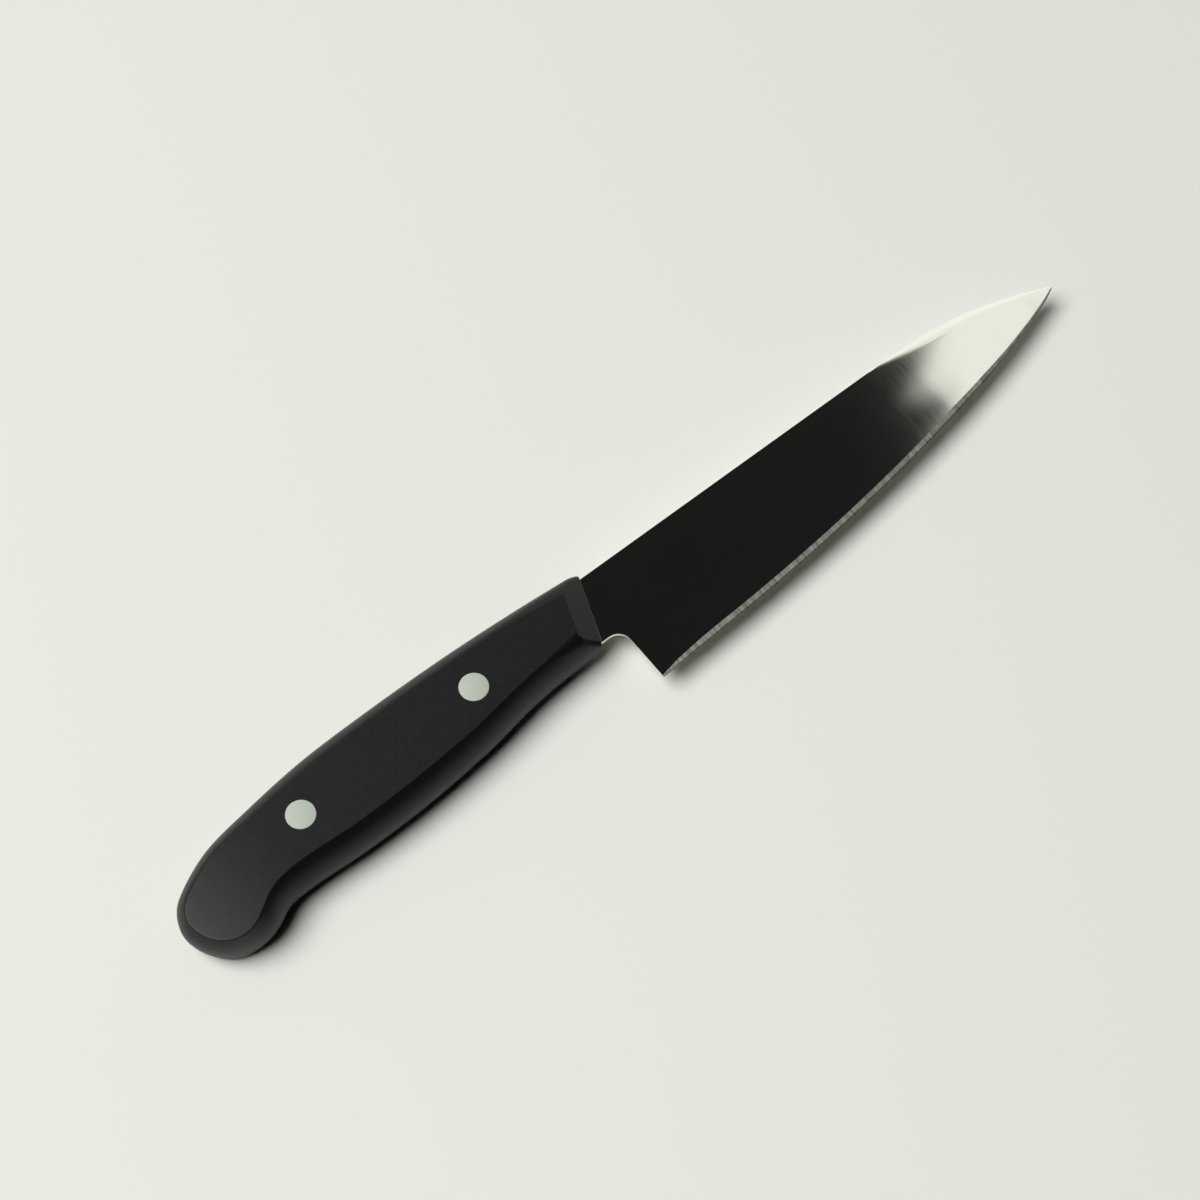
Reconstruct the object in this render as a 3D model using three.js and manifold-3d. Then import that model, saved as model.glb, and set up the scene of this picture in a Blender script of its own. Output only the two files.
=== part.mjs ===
// Petty knife lying on its left side: a ground blade whose hidden tang sits between two resin scales,
// held by two rivets, each a pin driven into a socket. Millimetres, X from butt to tip, Y from edge to
// spine, Z up. X is measured from the heel, Y from the line through both rivets and Z from the joint
// plane of the scales, until the last lines set the knife down on its lower handle face.
import * as THREE from "three";
import { mergeVertices } from "three/addons/utils/BufferGeometryUtils.js";
import Module from "manifold-3d";

// Blade
const bladeLength = 120;
const bladeThickness = 1.5;
const spineLevel = 7.1;
const heelLevel = -19.6;
const tipLevel = -2.3;
const spineFall = 0.55; // degrees that the straight spine falls towards the tip
const spineCurveLength = 36;
const edgeRise = 2.2; // degrees that the straight edge rises towards the tip
const tipRise = 34; // degrees that the edge rises at the tip
const edgeCurveLength = 100;
const edgeLead = 0.55; // how far the curved edge heads along the straight edge, as a share of its length
const tipLead = 0.07; // how far it heads for the tip
const bevelWidth = 1.3;
const shoulderThickness = 0.5; // just above the edge bevel
const edgeThickness = 0.08;
const spineFlat = 1; // left unground below the spine, at the heel
const plungeSetback = 0.6; // the grind starts this far behind the heel
const neckLevel = -6.3; // underside of the neck between choil and handle
const choilRadius = 3;

// Tang, hidden in the handle
const tangShoulder = 6; // how far the full neck runs into the handle
const tangEndHeight = 9;
const tangEndRadius = 3;
const tangOverrun = 9; // past the rear rivet

// Handle
const handleFront = -2.4; // on the line through the rivets
const handleLength = 101.9;
const handleThickness = 12.5;
const spineCover = 0.5; // how far the handle's front stands past the neck on the spine side
const bellyCover = 0.9; // and on the belly side
const gripRise = 10.8;
const gripDrop = 11.4;
const gripBulge = 3.3; // how far the rounded sides swell past the flat faces
const frontSlant = 21; // degrees, seen from above
const chamferRun = 4.8;
const frontLand = 0.4; // upright stretch between blade and chamfer
// Outline at the joint plane: share of the handle's length from its front, share of gripRise or gripDrop,
// and share of gripBulge
const spineStations = [
  [0.125, 0.88, 0.91],
  [0.29, 0.97, 1],
  [0.47, 1, 1],
  [0.63, 0.97, 1],
  [0.765, 0.83, 0.97],
  [0.875, 0.65, 0.85],
];
const bellyStations = [
  [0.846, 1.14, 0.87],
  [0.807, 0.975, 0.94],
  [0.757, 0.94, 1],
  [0.625, 1, 1],
  [0.485, 0.99, 1],
  [0.33, 0.88, 0.94],
  [0.185, 0.69, 0.86],
  [0.055, 0.635, 0.73],
];
const frontBulgeShare = 0.7;
const buttRadius = 10; // nominal rounding of the butt
// The butt's stretch of the outline: shares of buttRadius from the butt's end and from the line through the
// rivets, and share of gripBulge
const buttStations = [
  [0.49, 0.35, 0.73],
  [0.19, 0.12, 0.67],
  [0.03, -0.19, 0.61],
  [0, -0.43, 0.55],
  [0.06, -0.68, 0.48],
  [0.175, -0.905, 0.4],
  [0.325, -1.09, 0.34],
  [0.51, -1.23, 0.31],
  [0.73, -1.32, 0.28],
  [0.98, -1.375, 0.4],
  [1.26, -1.385, 0.67],
];

// Rivets
const rivetHeadDiameter = 6;
const rivetHeadHeight = 2.6;
const socketDiameter = 4;
const pinDiameter = 2.6;
const frontRivetInset = 29.3; // behind the handle's front
const rearRivetInset = 30.85; // ahead of the butt's end

// Fits
const tangClearance = 0.15;
const rivetClearance = 0.1; // round heads and stems
const pinClearance = 0.05;
const endClearance = 0.3; // past the ends of pin and socket

// Facets
const roundSegments = 24;
const outlineSegments = 92;
const sideSegments = 6;
const edgeSegments = 28;
// How far a cutting tool reaches past what it cuts
const overcut = 3;

const steel = new THREE.MeshStandardMaterial({ color: 0xb9bcbe, metalness: 1, roughness: 0.25 });
const resin = new THREE.MeshStandardMaterial({ color: 0x19191a, metalness: 0, roughness: 0.55 });
const satinMetal = new THREE.MeshStandardMaterial({ color: 0xc4c8c0, metalness: 1, roughness: 0.5 });

const wasm = await Module();
wasm.setup();

// A closed geometry as a solid that can be joined and cut
function solidOf(geometry) {
  const bare = geometry.clone();
  bare.deleteAttribute("normal");
  bare.deleteAttribute("uv");
  const merged = mergeVertices(bare);
  const mesh = new wasm.Mesh({
    numProp: 3,
    vertProperties: merged.attributes.position.array,
    triVerts: new Uint32Array(merged.index.array),
  });
  return new wasm.Manifold(mesh);
}

function geometryOf(solid) {
  const mesh = solid.getMesh();
  const geometry = new THREE.BufferGeometry();
  geometry.setAttribute("position", new THREE.BufferAttribute(mesh.vertProperties, mesh.numProp));
  geometry.setIndex(new THREE.BufferAttribute(mesh.triVerts, 1));
  geometry.computeVertexNormals();
  return geometry;
}

// A closed body through rings of equal length. Flattened, each ring runs counterclockwise as seen from
// the ring after it.
function loft(rings, flatten) {
  const count = rings[0].length;
  const triangles = [];
  for (let start = 0; start < count * (rings.length - 1); start += count) {
    for (let i = 0; i < count; i++) {
      const a = start + i;
      const b = start + ((i + 1) % count);
      triangles.push(a, b, b + count, a, b + count, a + count);
    }
  }
  const last = count * (rings.length - 1);
  for (const [a, b, c] of THREE.ShapeUtils.triangulateShape(rings[0].map(flatten), [])) {
    triangles.push(c, b, a);
  }
  for (const [a, b, c] of THREE.ShapeUtils.triangulateShape(rings.at(-1).map(flatten), [])) {
    triangles.push(last + a, last + b, last + c);
  }
  return new THREE.BufferGeometry().setFromPoints(rings.flat()).setIndex(triangles);
}

// A body turned about the vertical through the origin, from a profile of [radius, height] points
function turned(profile) {
  const points = profile.map(([radius, height]) => new THREE.Vector2(radius, height));
  return new THREE.LatheGeometry(points, roundSegments).rotateX(Math.PI / 2);
}

// The way along the blade at a slope in degrees
function heading(slope) {
  const angle = THREE.MathUtils.degToRad(slope);
  return new THREE.Vector2(Math.cos(angle), Math.sin(angle));
}

// The circle that leaves start at a slope in degrees and passes through end
function tangentCircle(start, slope, end) {
  const ahead = heading(slope);
  const chord = end.clone().sub(start);
  const radius = chord.lengthSq() / (2 * ahead.cross(chord));
  const centre = start.clone().add(new THREE.Vector2(-ahead.y, ahead.x).multiplyScalar(radius));
  const startAngle = start.clone().sub(centre).angle();
  const endAngle = end.clone().sub(centre).angle();
  return { centre, radius: Math.abs(radius), startAngle, endAngle };
}

// Blade outline
const tip = new THREE.Vector2(bladeLength, tipLevel);
const spineSlope = Math.tan(THREE.MathUtils.degToRad(spineFall));
const edgeSlope = Math.tan(THREE.MathUtils.degToRad(edgeRise));
const spineCurveX = bladeLength - spineCurveLength;
const edgeCurveX = bladeLength - edgeCurveLength;
const spineCurveStart = new THREE.Vector2(spineCurveX, straightSpine(spineCurveX));
const spineCurve = tangentCircle(spineCurveStart, -spineFall, tip);
const edgePoints = [new THREE.Vector2(0, heelLevel), ...makeEdgeCurve().getPoints(edgeSegments)];

function straightSpine(x) {
  return spineLevel - spineSlope * x;
}

function straightEdge(x) {
  return heelLevel + edgeSlope * x;
}

function makeEdgeCurve() {
  const start = new THREE.Vector2(edgeCurveX, straightEdge(edgeCurveX));
  const afterStart = start.clone().addScaledVector(heading(edgeRise), edgeLead * edgeCurveLength);
  const beforeTip = tip.clone().addScaledVector(heading(tipRise), -tipLead * edgeCurveLength);
  return new THREE.CubicBezierCurve(start, afterStart, beforeTip, tip);
}

// Places that the blade shares with the handle and the rivets
const halfBlade = bladeThickness / 2;
const halfHandle = handleThickness / 2;
const buttEnd = handleFront - handleLength;
const frontRivetX = handleFront - frontRivetInset;
const rearRivetX = buttEnd + rearRivetInset;
const tangRoot = handleFront - tangShoulder;
const tangEnd = rearRivetX - tangOverrun;
const headRadius = rivetHeadDiameter / 2;
const socketRadius = socketDiameter / 2;
const pinRadius = pinDiameter / 2;

// The tang's outline from neck underside to spine, moved out by a clearance
function traceTang(outline, clearance) {
  const end = tangEnd - clearance;
  const reach = tangEndHeight / 2 + clearance;
  const round = tangEndRadius + clearance;
  outline.lineTo(tangRoot, straightSpine(tangRoot) + clearance);
  outline.lineTo(end + round, reach);
  outline.absarc(end + round, reach - round, round, Math.PI / 2, Math.PI, false);
  outline.absarc(end + round, round - reach, round, Math.PI, 1.5 * Math.PI, false);
  outline.lineTo(tangRoot, neckLevel - clearance);
}

function makeBlank() {
  const outline = new THREE.Shape();
  outline.setFromPoints(edgePoints);
  const { centre, radius, startAngle, endAngle } = spineCurve;
  outline.absarc(centre.x, centre.y, radius, endAngle, startAngle, false);
  traceTang(outline, 0);
  outline.lineTo(-choilRadius, neckLevel);
  outline.absarc(-choilRadius, neckLevel - choilRadius, choilRadius, Math.PI / 2, 0, true);
  for (const x of [frontRivetX, rearRivetX]) {
    const hole = new THREE.Path();
    hole.absarc(x, 0, socketRadius + rivetClearance, 0, 2 * Math.PI, true);
    outline.holes.push(hole);
  }
  const options = { depth: bladeThickness, bevelEnabled: false, curveSegments: roundSegments / 2 };
  return new THREE.ExtrudeGeometry(outline, options).translate(0, 0, -halfBlade);
}

// What is ground off one side of the blank: side 1 is the right face, side -1 the left
function makeGrind(side) {
  const halfEdge = edgeThickness / 2;
  const halfShoulder = shoulderThickness / 2;
  const bevelRate = (halfShoulder - halfEdge) / bevelWidth;
  const faceRate = (halfBlade - halfShoulder) / (spineLevel - heelLevel - bevelWidth - spineFlat);
  const top = spineLevel + overcut;
  const plunge = new THREE.Vector2(-plungeSetback, straightEdge(-plungeSetback));
  const pastTip = tip.clone().addScaledVector(heading(tipRise), overcut);
  const rings = [];
  for (const { x, y: edge } of [plunge, ...edgePoints, pastTip]) {
    const shoulder = edge + bevelWidth;
    const ring = [
      [edge - overcut, halfEdge - bevelRate * overcut],
      [shoulder, halfShoulder],
      [top, halfShoulder + faceRate * (top - shoulder)],
      [top, bladeThickness],
      [edge - overcut, bladeThickness],
    ].map(([y, z]) => new THREE.Vector3(x, y, side * z));
    rings.push(side > 0 ? ring : ring.reverse());
  }
  return loft(rings, (point) => new THREE.Vector2(point.y, point.z));
}

function makeBlade() {
  const ground = solidOf(makeBlank()).subtract(solidOf(makeGrind(1))).subtract(solidOf(makeGrind(-1)));
  return geometryOf(ground);
}

// The handle's outline at the joint plane, from the front of the spine side round the butt to the front
// of the belly, with the swell of the side as the third coordinate. It starts and ends ahead of the
// handle, where the front is cut.
function makeHandleOutline() {
  const place = (share) => handleFront - share * handleLength;
  const ahead = handleFront + chamferRun + overcut;
  const frontBulge = frontBulgeShare * gripBulge;
  const points = [new THREE.Vector3(ahead, spineLevel + spineCover, frontBulge)];
  for (const [share, rise, bulge] of spineStations) {
    points.push(new THREE.Vector3(place(share), rise * gripRise, bulge * gripBulge));
  }
  for (const [fromEnd, level, bulge] of buttStations) {
    const x = buttEnd + fromEnd * buttRadius;
    points.push(new THREE.Vector3(x, level * buttRadius, bulge * gripBulge));
  }
  for (const [share, drop, bulge] of bellyStations) {
    points.push(new THREE.Vector3(place(share), -drop * gripDrop, bulge * gripBulge));
  }
  points.push(new THREE.Vector3(ahead, neckLevel - bellyCover, frontBulge));
  return new THREE.CatmullRomCurve3(points, false, "centripetal");
}

// Half of the handle, from the joint plane up to its flat face, with sides that are arcs in section
function makeGrip() {
  const outline = makeHandleOutline();
  const rings = [];
  for (let layer = 0; layer <= sideSegments; layer++) {
    const z = (halfHandle * layer) / sideSegments;
    const ring = [];
    for (let i = 0; i <= outlineSegments; i++) {
      const { x, y, z: bulge } = outline.getPoint(i / outlineSegments);
      const along = outline.getTangent(i / outlineSegments).setZ(0).normalize();
      const sideRadius = (halfHandle ** 2 + bulge ** 2) / (2 * bulge);
      const inset = sideRadius - Math.sqrt(sideRadius ** 2 - z ** 2);
      ring.push(new THREE.Vector3(x - along.y * inset, y + along.x * inset, z));
    }
    rings.push(ring);
  }
  return loft(rings, (point) => new THREE.Vector2(point.x, point.y));
}

// What is cut off the front of a scale: an upright land by the blade and a chamfer up to the face
function makeFrontCut() {
  const landTop = halfBlade + frontLand;
  const past = (overcut / chamferRun) * (halfHandle - landTop);
  const reach = gripRise + gripDrop;
  const section = new THREE.Shape();
  section.moveTo(0, -overcut);
  section.lineTo(reach, -overcut);
  section.lineTo(reach, halfHandle + past);
  section.lineTo(-chamferRun - overcut, halfHandle + past);
  section.lineTo(0, landTop);
  const slant = THREE.MathUtils.degToRad(frontSlant);
  const ahead = new THREE.Vector3(Math.cos(slant), -Math.sin(slant), 0);
  const along = new THREE.Vector3(Math.sin(slant), Math.cos(slant), 0);
  const turn = new THREE.Matrix4().makeBasis(ahead, new THREE.Vector3(0, 0, 1), along.clone().negate());
  turn.setPosition(along.multiplyScalar(reach).add(new THREE.Vector3(handleFront, 0, 0)));
  return new THREE.ExtrudeGeometry(section, { depth: 2 * reach, bevelEnabled: false }).applyMatrix4(turn);
}

// Half of the slot for the tang
function makeTangPocket() {
  const ahead = handleFront + chamferRun + overcut;
  const outline = new THREE.Shape();
  outline.moveTo(ahead, neckLevel - tangClearance);
  outline.lineTo(ahead, straightSpine(tangRoot) + tangClearance);
  traceTang(outline, tangClearance);
  const options = { depth: halfBlade + overcut, bevelEnabled: false, curveSegments: roundSegments / 2 };
  return new THREE.ExtrudeGeometry(outline, options).translate(0, 0, -overcut);
}

// A scale's hole for one rivet: a bore for the socket and a seat for the head
function makeRivetHole(x) {
  const bore = socketRadius + rivetClearance;
  const seat = headRadius + rivetClearance;
  const seatLevel = halfHandle - rivetHeadHeight;
  const profile = [
    [0, -overcut],
    [bore, -overcut],
    [bore, seatLevel],
    [seat, seatLevel],
    [seat, halfHandle + overcut],
    [0, halfHandle + overcut],
  ];
  return turned(profile).translate(x, 0, 0);
}

function makeScale() {
  let scale = solidOf(makeGrip()).subtract(solidOf(makeFrontCut())).subtract(solidOf(makeTangPocket()));
  for (const x of [frontRivetX, rearRivetX]) {
    scale = scale.subtract(solidOf(makeRivetHole(x)));
  }
  return geometryOf(scale);
}

// Rivets: the socket's head is on the left face, the pin's on the right
const leftSeat = rivetHeadHeight - halfHandle;
const rightSeat = halfHandle - rivetHeadHeight;

function makeRivetPin() {
  return turned([
    [0, leftSeat + endClearance],
    [pinRadius, leftSeat + endClearance],
    [pinRadius, rightSeat],
    [headRadius, rightSeat],
    [headRadius, halfHandle],
    [0, halfHandle],
  ]);
}

function makeRivetSocket() {
  const bore = pinRadius + pinClearance;
  return turned([
    [0, -halfHandle],
    [headRadius, -halfHandle],
    [headRadius, leftSeat],
    [socketRadius, leftSeat],
    [socketRadius, rightSeat - endClearance],
    [bore, rightSeat - endClearance],
    [bore, leftSeat],
    [0, leftSeat],
  ]);
}

const knife = new THREE.Group();

function addPiece(name, geometry, material) {
  const piece = new THREE.Mesh(geometry, material);
  piece.name = name;
  knife.add(piece);
  return piece;
}

addPiece("blade", makeBlade(), steel);
const scaleGeometry = makeScale();
addPiece("right_scale", scaleGeometry, resin);
addPiece("left_scale", scaleGeometry, resin).scale.z = -1;
const rivets = [
  ["front", frontRivetX],
  ["rear", rearRivetX],
];
for (const [name, x] of rivets) {
  addPiece(`${name}_rivet_pin`, makeRivetPin(), satinMetal).position.x = x;
  addPiece(`${name}_rivet_socket`, makeRivetSocket(), satinMetal).position.x = x;
}

// The origin is under the middle of the knife, on the surface that it lies on
const box = new THREE.Box3().setFromObject(knife);
const middle = box.getCenter(new THREE.Vector3());
knife.position.set(-middle.x, -middle.y, -box.min.z);

export default knife;
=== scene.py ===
"""Petty knife lying on its left side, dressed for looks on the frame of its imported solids.

Sizes are those of the solids, in millimetres: X from the heel to the tip, Y from the line through the
rivets to the spine, Z from the joint plane of the two scales.
"""

import math

import bmesh
import bpy
from mathutils import Matrix, Vector
from mathutils.geometry import interpolate_bezier


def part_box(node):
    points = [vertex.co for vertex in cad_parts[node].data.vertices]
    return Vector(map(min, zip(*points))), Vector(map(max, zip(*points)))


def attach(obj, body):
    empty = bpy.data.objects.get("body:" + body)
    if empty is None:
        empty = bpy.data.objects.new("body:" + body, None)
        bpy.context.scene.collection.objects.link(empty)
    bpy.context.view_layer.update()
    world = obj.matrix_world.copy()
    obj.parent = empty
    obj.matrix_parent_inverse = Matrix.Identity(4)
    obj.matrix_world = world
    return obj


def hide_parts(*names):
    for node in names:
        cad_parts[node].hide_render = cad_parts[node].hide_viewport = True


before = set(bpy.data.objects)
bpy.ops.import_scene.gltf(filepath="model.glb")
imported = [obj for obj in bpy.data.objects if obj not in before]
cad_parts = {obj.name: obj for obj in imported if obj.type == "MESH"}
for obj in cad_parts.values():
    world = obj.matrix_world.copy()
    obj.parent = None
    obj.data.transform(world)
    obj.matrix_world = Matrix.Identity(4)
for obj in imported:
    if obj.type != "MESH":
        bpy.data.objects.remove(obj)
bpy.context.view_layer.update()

# Blade
BLADE_LENGTH = 120.0
HALF_BLADE = 0.75
SPINE_LEVEL = 7.1
HEEL_LEVEL = -19.6
TIP_LEVEL = -2.3
SPINE_FALL = math.radians(0.55)
SPINE_CURVE_X = 84.0
EDGE_RISE = math.radians(2.2)
TIP_RISE = math.radians(34.0)
EDGE_CURVE_X = 20.0
EDGE_LEAD = 55.0
TIP_LEAD = 7.0
HALF_EDGE = 0.04
HALF_SHOULDER = 0.25
SHOULDER_WIDTH = 1.3  # of the bevel where the shoulder is that thick
FACE_RATE = 0.0205  # gain of half the thickness for each millimetre above the bevel
BEVEL_STATIONS = [  # distance from the heel and the bevel's width there
    (0, 0.4),
    (5, 1.05),
    (12, 1.35),
    (84, 1.35),
    (96, 1.05),
    (102, 0.8),
    (114, 0.55),
    (120, 0.3),
]
BEVEL_SHARE = 0.3  # most of the blade's height that the bevel takes, next to the tip
HONED_SHARE = 0.24  # of the bevel's width, taken by the steeper strip at the edge
HONED_HALF_SHARE = 0.48  # of the shoulder's half thickness, reached by that strip
TIP_RATE = 0.055  # half the thickness at the spine for each millimetre of height, next to the tip
SPINE_ROUND = 0.12
SPINE_ROUND_SHARE = 0.5  # most of half the thickness that this rounding takes
GRIND_RUNOUT = 14.0  # behind the heel, where the ground faces fade into the tang
CROWN_START = 74.0  # where the faces start to roll over towards the spine
CROWN_GROWTH = 20.0  # run over which the rolled strip gets its width
CROWN_WIDTH = 2.2
CROWN_SHARE = 0.3  # most of the blade's height that the strip takes, next to the tip
CROWN_SLOPE = 0.12
NECK_LEVEL = -6.3
CHOIL_RADIUS = 3.0

# Tang
TANG_ROOT = -8.4
TANG_END = -82.45
TANG_END_HALF = 4.5
TANG_END_RADIUS = 3.0

# Handle
HANDLE_FRONT = -2.4
HANDLE_LENGTH = 101.9
HALF_HANDLE = 6.25
BUTT_END = HANDLE_FRONT - HANDLE_LENGTH
SPINE_COVER = 0.5
BELLY_COVER = 0.9
GRIP_RISE = 10.798
GRIP_DROP = 11.4
GRIP_BULGE = 3.3
FRONT_BULGE_SHARE = 0.7
FRONT_SLANT = math.radians(21.0)
CHAMFER_RUN = 4.8
LAND_TOP = 1.15
BUTT_RADIUS = 10.0
# Outline at the joint plane: share of the handle's length from its front, share of GRIP_RISE or GRIP_DROP,
# and share of GRIP_BULGE
SPINE_STATIONS = [
    (0.125, 0.88, 0.91),
    (0.29, 0.97, 1.0),
    (0.47, 1.0, 1.0),
    (0.63, 0.97, 1.0),
    (0.765, 0.83, 0.97),
    (0.875, 0.65, 0.85),
]
# The butt's stretch: shares of BUTT_RADIUS from the butt's end and from the line through the rivets, and
# share of GRIP_BULGE
BUTT_STATIONS = [
    (0.49, 0.35, 0.73),
    (0.19, 0.12, 0.67),
    (0.03, -0.19, 0.61),
    (0.0, -0.43, 0.55),
    (0.06, -0.68, 0.48),
    (0.175, -0.905, 0.4),
    (0.325, -1.09, 0.34),
    (0.51, -1.23, 0.31),
    (0.73, -1.32, 0.28),
    (0.98, -1.375, 0.4),
    (1.26, -1.385, 0.67),
]
BELLY_STATIONS = [
    (0.846, 1.14, 0.87),
    (0.807, 0.975, 0.94),
    (0.757, 0.94, 1.0),
    (0.625, 1.0, 1.0),
    (0.485, 0.99, 1.0),
    (0.33, 0.88, 0.94),
    (0.185, 0.69, 0.86),
    (0.055, 0.635, 0.73),
]
BELLY_ROUND = 0.25  # radius between the flat face and the belly side
BACK_ROUND = 1.2  # radius between the flat face and the spine side
SIDE_BLEND = 4.0  # level from which either radius is full
NOSE_ROUND = 3.4  # both radii at the front
NOSE_START = -22.0
NOSE_END = -7.0
FACE_CREASE = 0.5  # radius between the flat face and the front's slope
LAND_CREASE = 1.0  # radius between that slope and the front's upright land
SPINE_CORNER = 1.2  # radius between the front and the spine side
BELLY_CORNER = 0.8  # radius between the front and the belly side
ROLL_START = -80.0  # where the flat face starts to fall away towards the butt
ROLL_DROP = 0.85

# Rivets
RIVETS = {"front": -31.7, "rear": -73.45}
HEAD_RADIUS = 3.0
HEAD_HEIGHT = 2.6
SEAT = HALF_HANDLE - HEAD_HEIGHT  # level of the shoulder under a head
HEAD_ROUND = 0.1
SOCKET_RADIUS = 2.0
PIN_RADIUS = 1.3
TANG_CLEARANCE = 0.15
HEAD_CLEARANCE = 0.04
SOCKET_CLEARANCE = 0.1
PIN_CLEARANCE = 0.05
END_CLEARANCE = 0.3

# Facets
OUTLINE_STEP = 0.8
FRONT_STEP = 0.12
ROLL_STEP = 1.5
CREASE_STEPS = 4
CORNER_DEGREES = (0, 30, 60, 90)
CHOIL_STEPS = 16
TANG_STEPS = 6
SIDE_STEPS = 12
EDGE_ROUND_STEPS = 5
HEEL_SECTIONS = (0, 0.4, 0.8, 1.4, 2, 3, 4, 6, 8, 11, 14, 17)  # along X, ahead of the edge's curve
EDGE_STEPS = 90
BEVEL_ROWS = 2  # the honed strip and the rest of the bevel
FACE_STEPS = (8, 16)  # rows below and above the choil
ROW_CROWDING = 1.7  # of those rows towards the spine
ROUND_STEPS = 72
OVERCUT = 3.0
OUTLINE_START = HANDLE_FRONT + CHAMFER_RUN + OVERCUT  # ahead of the front, which is cut back later
SLICE_TOLERANCE = 1e-5
ROLL_TOLERANCE = 1e-4
BLADE_SHARP = math.radians(3)  # least turn between faces that shows as an edge
SCALE_SHARP = math.radians(35)
RIVET_SHARP = math.radians(40)
FLAT_WEIGHT = 80  # how far large faces set the shading of the rounded edges beside them

# Row frame
MM = 0.001
ORIGIN = Vector((
    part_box("blade")[1].x - BLADE_LENGTH * MM,
    sum(corner.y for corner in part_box("front_rivet_pin")) / 2,
    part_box("right_scale")[0].z,
))
TO_ROW = Matrix.Translation(ORIGIN) @ Matrix.Scale(MM, 4)


def lerp(a, b, share):
    return a + (b - a) * share


def smoothstep(share):
    share = min(max(share, 0.0), 1.0)
    return share * share * (3 - 2 * share)


def along_stations(stations, x):
    """Straight between neighbouring stations of (place, value)."""
    for (x0, value0), (x1, value1) in zip(stations, stations[1:]):
        if x <= x1:
            return lerp(value0, value1, (x - x0) / (x1 - x0))
    return stations[-1][1]


def new_object(name, bm, *materials):
    mesh = bpy.data.meshes.new(name)
    for material in materials:
        mesh.materials.append(material)
    bm.to_mesh(mesh)
    bm.free()
    obj = bpy.data.objects.new(name, mesh)
    bpy.context.scene.collection.objects.link(obj)
    return obj


def cut(obj, cutters):
    """Takes the cutters' shapes out of obj and removes them."""
    for cutter in cutters:
        modifier = obj.modifiers.new("cut", "BOOLEAN")
        modifier.operation = "DIFFERENCE"
        modifier.solver = "EXACT"
        modifier.object = cutter
    depsgraph = bpy.context.evaluated_depsgraph_get()
    mesh = bpy.data.meshes.new_from_object(obj.evaluated_get(depsgraph))
    obj.modifiers.clear()
    obj.data = mesh
    for cutter in cutters:
        bpy.data.objects.remove(cutter)


def turned(name, profile, x, *materials):
    """A body turned about an upright axis through the rivet line, from (radius, level) points."""
    bm = bmesh.new()
    rings = []
    for radius, level in profile:
        if radius == 0:
            rings.append([bm.verts.new((x, 0, level))])
            continue
        ring = []
        for i in range(ROUND_STEPS):
            angle = 2 * math.pi * i / ROUND_STEPS
            ring.append(bm.verts.new((x + radius * math.cos(angle), radius * math.sin(angle), level)))
        rings.append(ring)
    for lower, upper in zip(rings, rings[1:]):
        for i in range(ROUND_STEPS):
            corners = []
            for vert in (
                lower[i % len(lower)],
                lower[(i + 1) % len(lower)],
                upper[(i + 1) % len(upper)],
                upper[i % len(upper)],
            ):
                if vert not in corners:
                    corners.append(vert)
            bm.faces.new(corners)
    bmesh.ops.recalc_face_normals(bm, faces=bm.faces)
    return new_object(name, bm, *materials)


# Outline of the blade

TIP = Vector((BLADE_LENGTH, TIP_LEVEL))


def straight_spine(x):
    return SPINE_LEVEL - math.tan(SPINE_FALL) * x


def straight_edge(x):
    return HEEL_LEVEL + math.tan(EDGE_RISE) * x


def spine_level(x):
    """The spine's level: straight, then on the circle that leaves it smoothly and ends in the tip."""
    if x <= SPINE_CURVE_X:
        return straight_spine(x)
    start = Vector((SPINE_CURVE_X, straight_spine(SPINE_CURVE_X)))
    ahead = Vector((math.cos(SPINE_FALL), -math.sin(SPINE_FALL)))
    chord = TIP - start
    radius = chord.length_squared / (-2 * ahead.cross(chord))
    centre = start + Vector((ahead.y, -ahead.x)) * radius
    return centre.y + math.sqrt(radius**2 - (x - centre.x) ** 2)


def edge_points():
    """The cutting edge from heel to tip."""
    start = Vector((EDGE_CURVE_X, straight_edge(EDGE_CURVE_X)))
    after_start = start + Vector((math.cos(EDGE_RISE), math.sin(EDGE_RISE))) * EDGE_LEAD
    before_tip = TIP - Vector((math.cos(TIP_RISE), math.sin(TIP_RISE))) * TIP_LEAD
    heel = [Vector((x, straight_edge(x))) for x in HEEL_SECTIONS]
    curve = interpolate_bezier(start, after_start, before_tip, TIP, EDGE_STEPS)
    return heel + [point.to_2d() for point in curve]


# Sections of the blade, as (level, half thickness) from the edge to the spine

CHOIL_END = NECK_LEVEL - CHOIL_RADIUS


def bevel_at(x, height):
    width = min(along_stations(BEVEL_STATIONS, x), BEVEL_SHARE * height)
    return width, lerp(HALF_EDGE, HALF_SHOULDER, width / SHOULDER_WIDTH)


def face_half(x, edge, level):
    """Half the thickness of the ground face, which rolls over a little at the spine next to the tip."""
    height = spine_level(x) - edge
    width, half_shoulder = bevel_at(x, height)
    half_spine = min(
        HALF_SHOULDER + FACE_RATE * (height - SHOULDER_WIDTH),
        HALF_EDGE + TIP_RATE * height,
        HALF_BLADE,
    )
    half = lerp(half_shoulder, half_spine, min((level - edge - width) / (height - width), 1.0))
    reach = min(CROWN_WIDTH * smoothstep((x - CROWN_START) / CROWN_GROWTH), CROWN_SHARE * height)
    past = max(reach - (height + edge - level), 0.0)
    return half - CROWN_SLOPE * past**2 / (2 * max(reach, SPINE_ROUND))


def corner_rows(top, half):
    """The rounded corner of the spine."""
    rounding = min(SPINE_ROUND, SPINE_ROUND_SHARE * half)
    rows = []
    for degrees in CORNER_DEGREES:
        angle = math.radians(degrees)
        level = top - rounding * (1 - math.sin(angle))
        rows.append((level, half - rounding * (1 - math.cos(angle))))
    return rows


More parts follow.
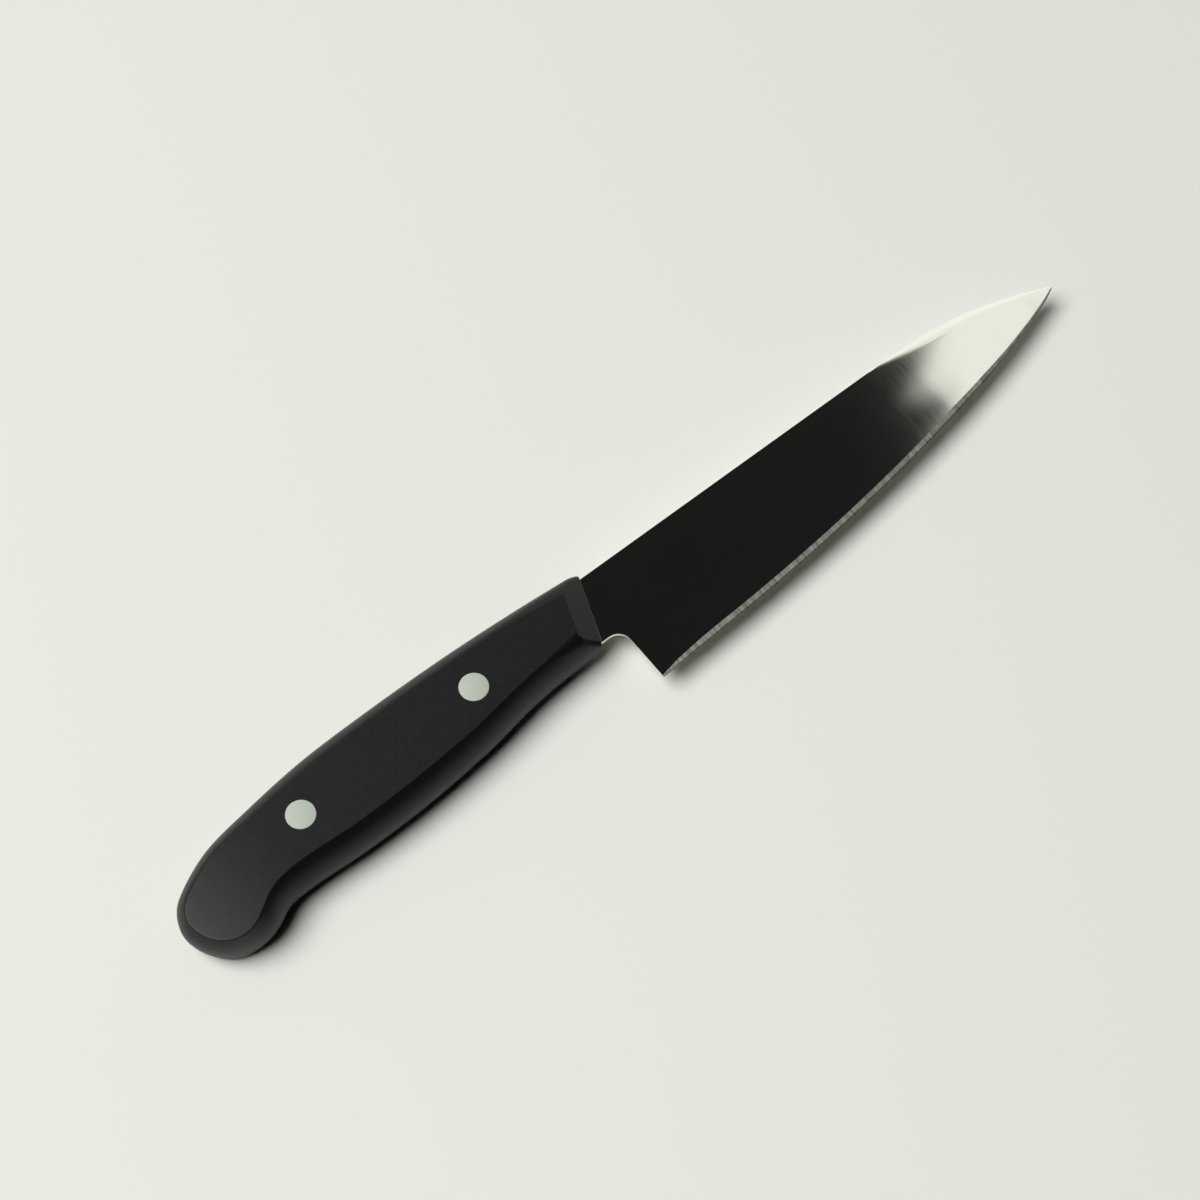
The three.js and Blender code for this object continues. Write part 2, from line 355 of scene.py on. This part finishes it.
def face_shares():
    """Shares of the face's height at which it has rows, the choil's end among them."""
    width, _ = bevel_at(0, SPINE_LEVEL - HEEL_LEVEL)
    bottom = HEEL_LEVEL + width
    split = (CHOIL_END - bottom) / (SPINE_LEVEL - SPINE_ROUND - bottom)
    below, above = FACE_STEPS
    lower = [split * i / below for i in range(1, below)]
    return lower, [lerp(split, 1, 1 - (1 - i / above) ** ROW_CROWDING) for i in range(above)]


SHARES_BELOW, SHARES_ABOVE = face_shares()
CHOIL_ROW = BEVEL_ROWS + 1 + len(SHARES_BELOW)  # first row that the neck shares with the blade


def ground_section(x, edge):
    spine = spine_level(x)
    width, half_shoulder = bevel_at(x, spine - edge)
    shoulder = edge + width
    honed = edge + HONED_SHARE * width
    rows = [(edge, HALF_EDGE / 2), (honed, HONED_HALF_SHARE * half_shoulder), (shoulder, half_shoulder)]
    corner = corner_rows(spine, face_half(x, edge, spine))
    for share in SHARES_BELOW + SHARES_ABOVE:
        level = lerp(shoulder, corner[0][0], share)
        rows.append((level, face_half(x, edge, level)))
    return rows + corner


def neck_section(x, low, high):
    """A section behind the heel, where the grind runs out into the unground neck and tang."""
    unground = smoothstep(-x / GRIND_RUNOUT)

    def half(level):
        return lerp(face_half(0, HEEL_LEVEL, level), HALF_BLADE, unground)

    corner = corner_rows(high, half(high))
    rows = []
    for share in SHARES_ABOVE:
        level = lerp(low, corner[0][0], (share - SHARES_ABOVE[0]) / (1 - SHARES_ABOVE[0]))
        rows.append((level, half(level)))
    return rows + corner


def neck_outline():
    """(x, underside, spine) of the neck and tang, from just behind the heel to the tang's end."""
    outline = []
    for i in range(1, CHOIL_STEPS + 1):
        angle = math.radians(90 * i / CHOIL_STEPS)
        x = CHOIL_RADIUS * (math.cos(angle) - 1)
        outline.append((x, CHOIL_END + CHOIL_RADIUS * math.sin(angle), straight_spine(x)))
    outline.append((TANG_ROOT, NECK_LEVEL, straight_spine(TANG_ROOT)))
    for i in range(TANG_STEPS + 1):
        angle = math.radians(90 * i / TANG_STEPS)
        half = TANG_END_HALF - TANG_END_RADIUS * (1 - math.cos(angle))
        outline.append((TANG_END + TANG_END_RADIUS * (1 - math.sin(angle)), -half, half))
    return outline


STEEL_SLOT, BEVEL_SLOT, WALL_SLOT = range(3)


def add_section(bm, x, rows):
    right = [bm.verts.new((x, level, half)) for level, half in rows]
    left = [bm.verts.new((x, level, -half)) for level, half in rows]
    return right, left


def add_face(bm, corners, slot):
    face = bm.faces.new(corners)
    face.smooth = True
    face.material_index = slot


def bridge(bm, behind, ahead, bevel_rows):
    """Skin between two sections, with so many rows of bevel at the edge."""
    (right0, left0), (right1, left1) = behind, ahead
    for j in range(len(right0) - 1):
        slot = BEVEL_SLOT if j < bevel_rows else STEEL_SLOT
        add_face(bm, (right0[j], right1[j], right1[j + 1], right0[j + 1]), slot)
        add_face(bm, (left0[j], left0[j + 1], left1[j + 1], left1[j]), slot)
    add_face(bm, (right0[-1], right1[-1], left1[-1], left0[-1]), WALL_SLOT)
    add_face(bm, (right0[0], left0[0], left1[0], right1[0]), BEVEL_SLOT if bevel_rows else WALL_SLOT)


def close_behind(bm, right, left):
    for j in range(len(right) - 1):
        add_face(bm, (right[j], right[j + 1], left[j + 1], left[j]), WALL_SLOT)


def close_tip(bm, right, left):
    tip = bm.verts.new((*TIP, 0))
    for j in range(len(right) - 1):
        slot = BEVEL_SLOT if j < BEVEL_ROWS else STEEL_SLOT
        add_face(bm, (right[j], tip, right[j + 1]), slot)
        add_face(bm, (left[j], left[j + 1], tip), slot)
    add_face(bm, (right[-1], tip, left[-1]), WALL_SLOT)
    add_face(bm, (right[0], left[0], tip), BEVEL_SLOT)


def make_blade():
    bm = bmesh.new()
    sections = [add_section(bm, point.x, ground_section(*point)) for point in edge_points()[:-1]]
    for behind, ahead in zip(sections, sections[1:]):
        bridge(bm, behind, ahead, BEVEL_ROWS)
    close_tip(bm, *sections[-1])
    heel_right, heel_left = sections[0]
    close_behind(bm, heel_right[: CHOIL_ROW + 1], heel_left[: CHOIL_ROW + 1])
    ahead = heel_right[CHOIL_ROW:], heel_left[CHOIL_ROW:]
    for x, low, high in neck_outline():
        behind = add_section(bm, x, neck_section(x, low, high))
        bridge(bm, behind, ahead, 0)
        ahead = behind
    close_behind(bm, *ahead)
    obj = new_object("blade_steel", bm, blade_finish, bevel_finish, wall_finish)
    bore = SOCKET_RADIUS + SOCKET_CLEARANCE
    hole = [(0, -OVERCUT), (bore, -OVERCUT), (bore, OVERCUT), (0, OVERCUT)]
    cut(obj, [turned("hole", hole, x) for x in RIVETS.values()])
    obj.data.set_sharp_from_angle(angle=BLADE_SHARP)
    return obj


# Handle scales


def handle_points():
    """(x, level, swell) from the front of the spine side round the butt to the front of the belly."""
    points = [Vector((OUTLINE_START, SPINE_LEVEL + SPINE_COVER, FRONT_BULGE_SHARE * GRIP_BULGE))]
    for share, rise, bulge in SPINE_STATIONS:
        points.append(Vector((HANDLE_FRONT - share * HANDLE_LENGTH, rise * GRIP_RISE, bulge * GRIP_BULGE)))
    for from_end, level, bulge in BUTT_STATIONS:
        points.append(Vector((BUTT_END + from_end * BUTT_RADIUS, level * BUTT_RADIUS, bulge * GRIP_BULGE)))
    for share, drop, bulge in BELLY_STATIONS:
        points.append(Vector((HANDLE_FRONT - share * HANDLE_LENGTH, -drop * GRIP_DROP, bulge * GRIP_BULGE)))
    points.append(Vector((OUTLINE_START, NECK_LEVEL - BELLY_COVER, FRONT_BULGE_SHARE * GRIP_BULGE)))
    return points


def centripetal(points):
    """(point, heading) along the centripetal curve through points, closer in the first and last stretch."""
    padded = [2 * points[0] - points[1], *points, 2 * points[-1] - points[-2]]
    found = []
    for p0, p1, p2, p3 in zip(padded, padded[1:], padded[2:], padded[3:]):
        d0, d1, d2 = (math.sqrt((b - a).length) for a, b in ((p0, p1), (p1, p2), (p2, p3)))
        leave = ((p1 - p0) / d0 - (p2 - p0) / (d0 + d1) + (p2 - p1) / d1) * d1
        reach = ((p2 - p1) / d1 - (p3 - p1) / (d1 + d2) + (p3 - p2) / d2) * d1
        square = 3 * (p2 - p1) - 2 * leave - reach
        cube = 2 * (p1 - p2) + leave + reach
        step = FRONT_STEP if points[0] in (p1, p2) or points[-1] in (p1, p2) else OUTLINE_STEP
        count = math.ceil((p2 - p1).length / step)
        for i in range(count):
            t = i / count
            point = p1 + leave * t + square * t**2 + cube * t**3
            found.append((point, (leave + 2 * square * t + 3 * cube * t**2).to_2d().normalized()))
    found.append((points[-1], reach.to_2d().normalized()))
    return found


def edge_radius(x, level):
    """Radius between the flat face and the side at a place on the outline."""
    radius = lerp(BELLY_ROUND, BACK_ROUND, smoothstep((level + SIDE_BLEND) / (2 * SIDE_BLEND)))
    return lerp(radius, NOSE_ROUND, smoothstep((x - NOSE_START) / (NOSE_END - NOSE_START)))


def side_profile(bulge, rounding):
    """(inset, level, lean) up the side's arc and over its rounded edge onto the flat face."""
    radius = (HALF_HANDLE**2 + bulge**2) / (2 * bulge)
    leave = math.asin((HALF_HANDLE - rounding) / (radius - rounding))
    inset = radius - (radius - rounding) * math.cos(leave)
    rows = []
    for i in range(SIDE_STEPS + 1):
        angle = leave * i / SIDE_STEPS
        rows.append((radius * (1 - math.cos(angle)), radius * math.sin(angle), angle))
    for i in range(1, EDGE_ROUND_STEPS + 1):
        angle = lerp(leave, math.pi / 2, i / EDGE_ROUND_STEPS)
        level = HALF_HANDLE - rounding * (1 - math.sin(angle))
        rows.append((inset - rounding * math.cos(angle), level, angle))
    return rows


def corner_inset(x, y, level):
    """How far the side draws in where it rounds into the front."""
    radius = SPINE_CORNER if y > 0 else BELLY_CORNER
    behind = (HANDLE_FRONT - x) * math.cos(FRONT_SLANT) + y * math.sin(FRONT_SLANT)
    behind -= max(level - LAND_TOP, 0.0) * CHAMFER_RUN / (HALF_HANDLE - LAND_TOP)
    past = min(max(radius - behind, 0.0), radius)
    return radius - math.sqrt(radius**2 - past**2)


def side_rings(outline):
    """Rings round the handle, from the joint plane to the flat face."""
    columns = []
    for point, heading in outline:
        column = []
        for inset, level, lean in side_profile(point.z, edge_radius(point.x, point.y)):
            x, y = point.x - heading.y * inset, point.y + heading.x * inset
            inset += corner_inset(x, y, level) * math.cos(lean)
            column.append((point.x - heading.y * inset, point.y + heading.x * inset, level))
        columns.append(column)
    return list(zip(*columns))


def slice_off(bm, point, normal):
    """Cuts away what lies ahead of a plane and closes the cut."""
    geom = bm.verts[:] + bm.edges[:] + bm.faces[:]
    bmesh.ops.bisect_plane(
        bm, geom=geom, plane_co=point, plane_no=normal, clear_outer=True, dist=SLICE_TOLERANCE
    )
    bmesh.ops.edgeloop_fill(bm, edges=[edge for edge in bm.edges if edge.is_boundary])


def round_crease(bm, point, first, second, radius):
    """Rounds the crease through point between two flats, given by their normals."""
    turn = first.angle(second)
    axis = first.cross(second)
    centre = point - (first + second).normalized() * radius / math.cos(turn / 2)
    for i in range(1, CREASE_STEPS):
        normal = Matrix.Rotation(turn * i / CREASE_STEPS, 3, axis) @ first
        slice_off(bm, centre + normal * radius, normal)


def make_scale_blank():
    """Half of the handle above the joint plane, with its front cut and its edges rounded."""
    bm = bmesh.new()
    outline = centripetal(handle_points())
    rings = [[bm.verts.new(p) for p in ring] for ring in side_rings(outline)]
    for lower, upper in zip(rings, rings[1:]):
        for i in range(len(lower)):
            k = (i + 1) % len(lower)
            bm.faces.new((lower[i], lower[k], upper[k], upper[i]))
    bm.faces.new(rings[0][::-1])
    bm.faces.new(rings[-1])
    up = Vector((0, 0, 1))
    ahead = Vector((math.cos(FRONT_SLANT), -math.sin(FRONT_SLANT), 0))
    steep = (ahead * (HALF_HANDLE - LAND_TOP) + up * CHAMFER_RUN).normalized()
    front = Vector((HANDLE_FRONT, 0, 0))
    land_top = front + up * LAND_TOP
    slice_off(bm, front, ahead)
    slice_off(bm, land_top, steep)
    round_crease(bm, front - ahead * CHAMFER_RUN + up * HALF_HANDLE, up, steep, FACE_CREASE)
    round_crease(bm, land_top, steep, ahead, LAND_CREASE)
    x = ROLL_START
    while x > BUTT_END:
        geom = bm.verts[:] + bm.edges[:] + bm.faces[:]
        bmesh.ops.bisect_plane(bm, geom=geom, plane_co=(x, 0, 0), plane_no=(1, 0, 0), dist=ROLL_TOLERANCE)
        x -= ROLL_STEP
    for vert in bm.verts:
        past = max((ROLL_START - vert.co.x) / (ROLL_START - BUTT_END), 0.0)
        vert.co.z *= 1 - ROLL_DROP * past**2 / HALF_HANDLE
    return new_object("scale", bm, resin)


def make_tang_pocket():
    bm = bmesh.new()
    low, high = NECK_LEVEL - TANG_CLEARANCE, straight_spine(TANG_ROOT) + TANG_CLEARANCE
    outline = [(OUTLINE_START, low), (OUTLINE_START, high), (TANG_ROOT, high)]
    end = [(x, level) for x, _, level in neck_outline()[-TANG_STEPS - 1 :]]
    outline += [(x - TANG_CLEARANCE, level + TANG_CLEARANCE) for x, level in end]
    outline += [(x - TANG_CLEARANCE, -level - TANG_CLEARANCE) for x, level in reversed(end)]
    outline.append((TANG_ROOT, low))
    bottom = bm.faces.new([bm.verts.new((x, level, -OVERCUT)) for x, level in outline])
    top = bmesh.ops.extrude_face_region(bm, geom=[bottom])["geom"]
    moved = [item for item in top if isinstance(item, bmesh.types.BMVert)]
    bmesh.ops.translate(bm, verts=moved, vec=(0, 0, HALF_BLADE + OVERCUT))
    bmesh.ops.recalc_face_normals(bm, faces=bm.faces)
    return new_object("pocket", bm)


def make_rivet_hole(x):
    bore = SOCKET_RADIUS + SOCKET_CLEARANCE
    seat = HEAD_RADIUS + HEAD_CLEARANCE
    bottom, top = -OVERCUT, HALF_HANDLE + OVERCUT
    profile = [(0, bottom), (bore, bottom), (bore, SEAT), (seat, SEAT), (seat, top), (0, top)]
    return turned("hole", profile, x)


def make_scale(name, side):
    """side 1 is the right scale, on top, and side -1 the left one, under it."""
    obj = make_scale_blank()
    obj.name = name
    cut(obj, [make_tang_pocket()] + [make_rivet_hole(x) for x in RIVETS.values()])
    if side < 0:
        obj.data.transform(Matrix.Scale(-1, 4, Vector((0, 0, 1))))
        obj.data.flip_normals()
    for face in obj.data.polygons:
        face.use_smooth = True
    obj.data.set_sharp_from_angle(angle=SCALE_SHARP)
    normals = obj.modifiers.new("normals", "WEIGHTED_NORMAL")
    normals.weight = FLAT_WEIGHT
    normals.keep_sharp = True
    return obj


# Rivet halves


def rounded_head(top):
    """The head's rim, from its side onto its flat, at the level top."""
    inner = HEAD_RADIUS - HEAD_ROUND
    rows = []
    for degrees in CORNER_DEGREES:
        angle = math.radians(degrees)
        drop = HEAD_ROUND * (1 - math.sin(angle))
        rows.append((inner + HEAD_ROUND * math.cos(angle), top - drop))
    return rows


def make_pin(name, x):
    end = END_CLEARANCE - SEAT
    stem = [(0, end), (PIN_RADIUS - HEAD_ROUND, end), (PIN_RADIUS, end + HEAD_ROUND), (PIN_RADIUS, SEAT)]
    head = [(HEAD_RADIUS, SEAT), *rounded_head(HALF_HANDLE), (0, HALF_HANDLE)]
    return turned(name, stem + head, x, rivet_finish)


def make_socket(name, x):
    bore = PIN_RADIUS + PIN_CLEARANCE
    end = SEAT - END_CLEARANCE
    head = [(radius, -level) for radius, level in reversed(rounded_head(HALF_HANDLE))]
    profile = [(0, -HALF_HANDLE), *head, (HEAD_RADIUS, -SEAT), (SOCKET_RADIUS, -SEAT)]
    profile += [(SOCKET_RADIUS, end), (bore, end), (bore, -SEAT), (0, -SEAT)]
    return turned(name, profile, x, rivet_finish)


# Materials

NOISE_LOW, NOISE_HIGH = 0.3, 0.7  # the range that most of the noise lies in
PLAIN_DETAIL = 3.0
FINE_DETAIL = 4.0
SMEARS = (0.05, 0.05, 0.05)  # for each millimetre along X, Y and Z, as every other grain here
LINE_RELIEF = 0.5
RESIN_GRAIN = (2.2, 2.2, 2.2)
RESIN_CLOUDS = (0.12, 0.12, 0.12)
RESIN_COLOURS = ((0.0022, 0.0017, 0.0026), (0.006, 0.0053, 0.0066))
RESIN_SPECULAR = 0.27
SIDE_ROUGHNESS = (0.4, 0.44)
FLAT_ROUGHNESS = (0.275, 0.315)
FACE_NORMAL = (0.86, 0.97)  # Z of the normal, from the sides to the flat faces
FRONT_NORMAL = (0.45, 0.6)  # X of the normal, from the sides to the front
GRAIN_DEPTH = 0.02
GRAIN_RELIEF = 0.3


def new_material(name):
    material = bpy.data.materials.new(name)
    material.use_nodes = True
    return material, material.node_tree, material.node_tree.nodes["Principled BSDF"]


def noise(tree, stretch, detail=PLAIN_DETAIL):
    """Noise over the object's own coordinates, with so many grains for each millimetre along X, Y and Z."""
    place = tree.nodes.new("ShaderNodeTexCoord")
    mapping = tree.nodes.new("ShaderNodeMapping")
    mapping.inputs["Scale"].default_value = [s / MM for s in stretch]
    texture = tree.nodes.new("ShaderNodeTexNoise")
    texture.inputs["Scale"].default_value = 1.0
    texture.inputs["Detail"].default_value = detail
    tree.links.new(place.outputs["Object"], mapping.inputs["Vector"])
    tree.links.new(mapping.outputs["Vector"], texture.inputs["Vector"])
    return texture.outputs["Fac"]


def spread(tree, value, low, high):
    """Noise brought to the range from low to high."""
    node = tree.nodes.new("ShaderNodeMapRange")
    node.inputs["From Min"].default_value = NOISE_LOW
    node.inputs["From Max"].default_value = NOISE_HIGH
    node.inputs["To Min"].default_value = low
    node.inputs["To Max"].default_value = high
    tree.links.new(value, node.inputs["Value"])
    return node.outputs["Result"]


def tint(tree, value, low, high):
    """A colour between low and high by noise."""
    node = tree.nodes.new("ShaderNodeValToRGB")
    node.color_ramp.elements[0].position = NOISE_LOW
    node.color_ramp.elements[0].color = (*low, 1)
    node.color_ramp.elements[1].position = NOISE_HIGH
    node.color_ramp.elements[1].color = (*high, 1)
    tree.links.new(value, node.inputs["Fac"])
    return node.outputs["Color"]


def bump(tree, value, depth, strength):
    """A relief of that depth in millimetres."""
    node = tree.nodes.new("ShaderNodeBump")
    node.inputs["Distance"].default_value = depth * MM
    node.inputs["Strength"].default_value = strength
    tree.links.new(value, node.inputs["Height"])
    return node.outputs["Normal"]


def math_node(tree, operation, a, b):
    """The result of one operation on two sockets or numbers."""
    node = tree.nodes.new("ShaderNodeMath")
    node.operation = operation
    for socket, value in zip(node.inputs, (a, b)):
        if isinstance(value, (int, float)):
            socket.default_value = value
        else:
            tree.links.new(value, socket)
    return node.outputs["Value"]


def ramp(tree, value, start, end):
    """A smooth rise from nought at start to one at end."""
    node = tree.nodes.new("ShaderNodeMapRange")
    node.interpolation_type = "SMOOTHSTEP"
    node.inputs["From Min"].default_value = start
    node.inputs["From Max"].default_value = end
    tree.links.new(value, node.inputs["Value"])
    return node.outputs["Result"]


def make_metal(name, stretch, colours, roughness, depth, streaked=False):
    """Metal with the fine lines of its last grinding, which colour it too where it is streaked."""
    material, tree, shader = new_material(name)
    lines = noise(tree, stretch)
    smears = noise(tree, SMEARS, FINE_DETAIL)
    shader.inputs["Metallic"].default_value = 1.0
    tree.links.new(tint(tree, lines if streaked else smears, *colours), shader.inputs["Base Color"])
    tree.links.new(spread(tree, lines, *roughness), shader.inputs["Roughness"])
    tree.links.new(bump(tree, lines, depth, LINE_RELIEF), shader.inputs["Normal"])
    return material


def make_resin():
    """Matte moulded resin with a fine grain, a little glossier where faces and front were finished flat."""
    material, tree, shader = new_material("black_resin")
    grain = noise(tree, RESIN_GRAIN, FINE_DETAIL)
    clouds = noise(tree, RESIN_CLOUDS)
    shader.inputs["Specular IOR Level"].default_value = RESIN_SPECULAR
    tree.links.new(tint(tree, grain, *RESIN_COLOURS), shader.inputs["Base Color"])
    place = tree.nodes.new("ShaderNodeTexCoord")
    parts = tree.nodes.new("ShaderNodeSeparateXYZ")
    tree.links.new(place.outputs["Normal"], parts.inputs["Vector"])
    faces = ramp(tree, math_node(tree, "ABSOLUTE", parts.outputs["Z"], 0), *FACE_NORMAL)
    front = ramp(tree, parts.outputs["X"], *FRONT_NORMAL)
    gloss = tree.nodes.new("ShaderNodeMix")
    tree.links.new(math_node(tree, "MAXIMUM", faces, front), gloss.inputs["Factor"])
    tree.links.new(spread(tree, clouds, *SIDE_ROUGHNESS), gloss.inputs["A"])
    tree.links.new(spread(tree, grain, *FLAT_ROUGHNESS), gloss.inputs["B"])
    tree.links.new(gloss.outputs["Result"], shader.inputs["Roughness"])
    tree.links.new(bump(tree, grain, GRAIN_DEPTH, GRAIN_RELIEF), shader.inputs["Normal"])
    return material


blade_finish = make_metal(
    "brushed_steel",
    stretch=(4, 0.12, 1),
    colours=((0.88, 0.88, 0.85), (0.94, 0.94, 0.91)),
    roughness=(0.038, 0.05),
    depth=0.00004,
)
bevel_finish = make_metal(
    "ground_bevel",
    stretch=(3, 0.15, 1),
    colours=((0.34, 0.34, 0.3), (0.74, 0.73, 0.65)),
    roughness=(0.28, 0.36),
    depth=0.0005,
    streaked=True,
)
wall_finish = make_metal(
    "stamped_steel",
    stretch=(3, 3, 6),
    colours=((0.86, 0.85, 0.8), (0.94, 0.93, 0.88)),
    roughness=(0.22, 0.34),
    depth=0.006,
)
rivet_finish = make_metal(
    "satin_rivet",
    stretch=(0.3, 7, 1),
    colours=((0.505, 0.535, 0.49), (0.525, 0.555, 0.51)),
    roughness=(0.79, 0.82),
    depth=0.0002,
)
resin = make_resin()

# Pieces


def dress(obj, node):
    """Brings a piece into the row frame in place of its CAD node."""
    obj.data.transform(TO_ROW)
    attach(obj, "root")
    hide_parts(node)


dress(make_blade(), "blade")
dress(make_scale("right_scale_resin", 1), "right_scale")
dress(make_scale("left_scale_resin", -1), "left_scale")
for place, x in RIVETS.items():
    for half, make in (("pin", make_pin), ("socket", make_socket)):
        rivet = make(f"{place}_{half}_metal", x)
        for face in rivet.data.polygons:
            face.use_smooth = True
        rivet.data.set_sharp_from_angle(angle=RIVET_SHARP)
        dress(rivet, f"{place}_rivet_{half}")

# Stage, in metres

FLOOR_HALF = 3.0
FLOOR_GAP = 0.00003  # under the knife
FLOOR_COLOUR = (0.8, 0.812, 0.755, 1)
FLOOR_ROUGHNESS = 0.9
FLOOR_SPECULAR = 0.1
BACKDROP_COLOUR = (0.71, 0.73, 0.665, 1)
BACKDROP_FADE = (0.2, 0.65)  # distance over which the floor passes into it
KEY_SIZE = 1.8
KEY_ENERGY = 70.0
KEY_DISTANCE = 2.5
KEY_AIM = Vector((-0.46, 0.2, 1.0)).normalized()
# Walls of the room that the blade mirrors, beyond the tip and beyond the spine, and a grey strip low on the
# tip's side. Their places say how far a direction runs along X (across) or Y (back) for each metre of climb.
LEAST_CLIMB = 0.02
TIP_WALL_TOP = 0.333  # back from which its wavy end runs straight
TIP_WALL_WAVES = 272.0
TIP_WALL_WAVE_DEPTH = 0.0078
TIP_WALL_MIDDLE = 0.3
TIP_WALL_LEAN = 0.38
TIP_WALL_START = (0.442, 0.475)
TIP_WALL_FOOT = (0.2, 0.28)
TIP_WALL_TONE = 0.91
FAR_WALL_START = (0.355, 0.435)
STRIP_FOOT = (-0.06, 0.03)
STRIP_TOP = (0.24, 0.16)
STRIP_START = (0.15, 0.3)
STRIP_TONE = 0.3
CEILING_COLOUR = (0.011, 0.01, 0.01, 1)
WALL_COLOUR = (0.97, 1.0, 0.9, 1)
ROOM_LIGHT = 0.2  # strength of the room's light on matt surfaces
SENSOR_MM = 36.0
LENS_MM = 87.0
CLIP_RANGE = (0.01, 20.0)
CAMERA_PLACE = Vector((-0.16135, -0.18395, 0.52809))
CAMERA_AHEAD = Vector((0.26778, 0.3290, -0.90557)).normalized()
CAMERA_RIGHT = Vector((0.77557, -0.63126, 0.0)).normalized()


def looked_at(tree):
    """One for a ray straight from the camera, or by way of metal or glass."""
    path = tree.nodes.new("ShaderNodeLightPath")
    straight = math_node(tree, "MAXIMUM", path.outputs["Is Camera Ray"], path.outputs["Is Glossy Ray"])
    return math_node(tree, "MAXIMUM", straight, path.outputs["Is Transmission Ray"])


def make_floor():
    """A pale floor that fades into an even backdrop well away from the knife."""
    bm = bmesh.new()
    bmesh.ops.create_grid(bm, x_segments=1, y_segments=1, size=FLOOR_HALF)
    floor = new_object("floor", bm)
    floor.location.z = -FLOOR_GAP
    material, tree, shader = new_material("pale_floor")
    shader.inputs["Base Color"].default_value = FLOOR_COLOUR
    shader.inputs["Roughness"].default_value = FLOOR_ROUGHNESS
    shader.inputs["Specular IOR Level"].default_value = FLOOR_SPECULAR
    place = tree.nodes.new("ShaderNodeTexCoord")
    distance = tree.nodes.new("ShaderNodeVectorMath")
    distance.operation = "LENGTH"
    tree.links.new(place.outputs["Object"], distance.inputs[0])
    backdrop = tree.nodes.new("ShaderNodeEmission")
    backdrop.inputs["Color"].default_value = BACKDROP_COLOUR
    fade = tree.nodes.new("ShaderNodeMixShader")
    away = ramp(tree, distance.outputs["Value"], *BACKDROP_FADE)
    tree.links.new(math_node(tree, "MULTIPLY", away, looked_at(tree)), fade.inputs["Fac"])
    tree.links.new(shader.outputs["BSDF"], fade.inputs[1])
    tree.links.new(backdrop.outputs["Emission"], fade.inputs[2])
    tree.links.new(fade.outputs["Shader"], tree.nodes["Material Output"].inputs["Surface"])
    floor.data.materials.append(material)


def make_key_light():
    """Large soft light above the butt."""
    light = bpy.data.lights.new("key", "AREA")
    light.shape = "DISK"
    light.size = KEY_SIZE
    light.energy = KEY_ENERGY
    lamp = bpy.data.objects.new("key", light)
    lamp.location = KEY_AIM * KEY_DISTANCE
    lamp.rotation_euler = KEY_AIM.to_track_quat("Z", "Y").to_euler()
    bpy.context.scene.collection.objects.link(lamp)


def make_world():
    """A studio with pale walls beyond the spine and the tip and a dark ceiling, on a pale ground."""
    world = bpy.data.worlds.new("studio")
    world.use_nodes = True
    tree = world.node_tree
    nodes, links = tree.nodes, tree.links
    place = nodes.new("ShaderNodeTexCoord")
    parts = nodes.new("ShaderNodeSeparateXYZ")
    links.new(place.outputs["Generated"], parts.inputs["Vector"])
    climb = math_node(tree, "MAXIMUM", parts.outputs["Z"], LEAST_CLIMB)
    across = math_node(tree, "DIVIDE", parts.outputs["X"], climb)
    back = math_node(tree, "DIVIDE", parts.outputs["Y"], climb)
    height = math_node(tree, "MINIMUM", back, TIP_WALL_TOP)
    waves = math_node(tree, "COSINE", math_node(tree, "MULTIPLY", height, TIP_WALL_WAVES), 0)
    waves = math_node(tree, "MULTIPLY", waves, TIP_WALL_WAVE_DEPTH)
    lean = math_node(tree, "MULTIPLY", math_node(tree, "SUBTRACT", height, TIP_WALL_MIDDLE), TIP_WALL_LEAN)
    end = math_node(tree, "SUBTRACT", math_node(tree, "SUBTRACT", across, waves), lean)
    tip_side, foot = ramp(tree, end, *TIP_WALL_START), ramp(tree, back, *TIP_WALL_FOOT)
    tip_side = math_node(tree, "MULTIPLY", math_node(tree, "MULTIPLY", tip_side, foot), TIP_WALL_TONE)
    far_side = ramp(tree, back, *FAR_WALL_START)
    strip = math_node(tree, "MULTIPLY", ramp(tree, back, *STRIP_FOOT), ramp(tree, back, *STRIP_TOP))
    strip = math_node(tree, "MULTIPLY", strip, ramp(tree, across, *STRIP_START))
    strip = math_node(tree, "MULTIPLY", strip, STRIP_TONE)
    seen = nodes.new("ShaderNodeLightPath").outputs["Is Camera Ray"]
    walls = math_node(tree, "MAXIMUM", math_node(tree, "MAXIMUM", tip_side, far_side), strip)
    walls = math_node(tree, "MAXIMUM", walls, seen)
    colour = nodes.new("ShaderNodeMix")
    colour.data_type = "RGBA"
    colour.inputs["A"].default_value = CEILING_COLOUR
    colour.inputs["B"].default_value = WALL_COLOUR
    links.new(walls, colour.inputs["Factor"])
    strength = nodes.new("ShaderNodeMapRange")
    strength.inputs["To Min"].default_value = ROOM_LIGHT
    links.new(looked_at(tree), strength.inputs["Value"])
    background = nodes["Background"]
    links.new(colour.outputs["Result"], background.inputs["Color"])
    links.new(strength.outputs["Result"], background.inputs["Strength"])
    bpy.context.scene.world = world


def make_camera():
    camera = bpy.data.cameras.new("camera")
    camera.sensor_width = SENSOR_MM
    camera.lens = LENS_MM
    camera.clip_start, camera.clip_end = CLIP_RANGE
    obj = bpy.data.objects.new("camera", camera)
    turn = Matrix((CAMERA_RIGHT, CAMERA_RIGHT.cross(CAMERA_AHEAD), -CAMERA_AHEAD)).transposed()
    obj.matrix_world = Matrix.Translation(CAMERA_PLACE) @ turn.to_4x4()
    bpy.context.scene.collection.objects.link(obj)
    bpy.context.scene.camera = obj


make_floor()
make_key_light()
make_world()
make_camera()
bpy.context.scene.view_settings.view_transform = "Standard"
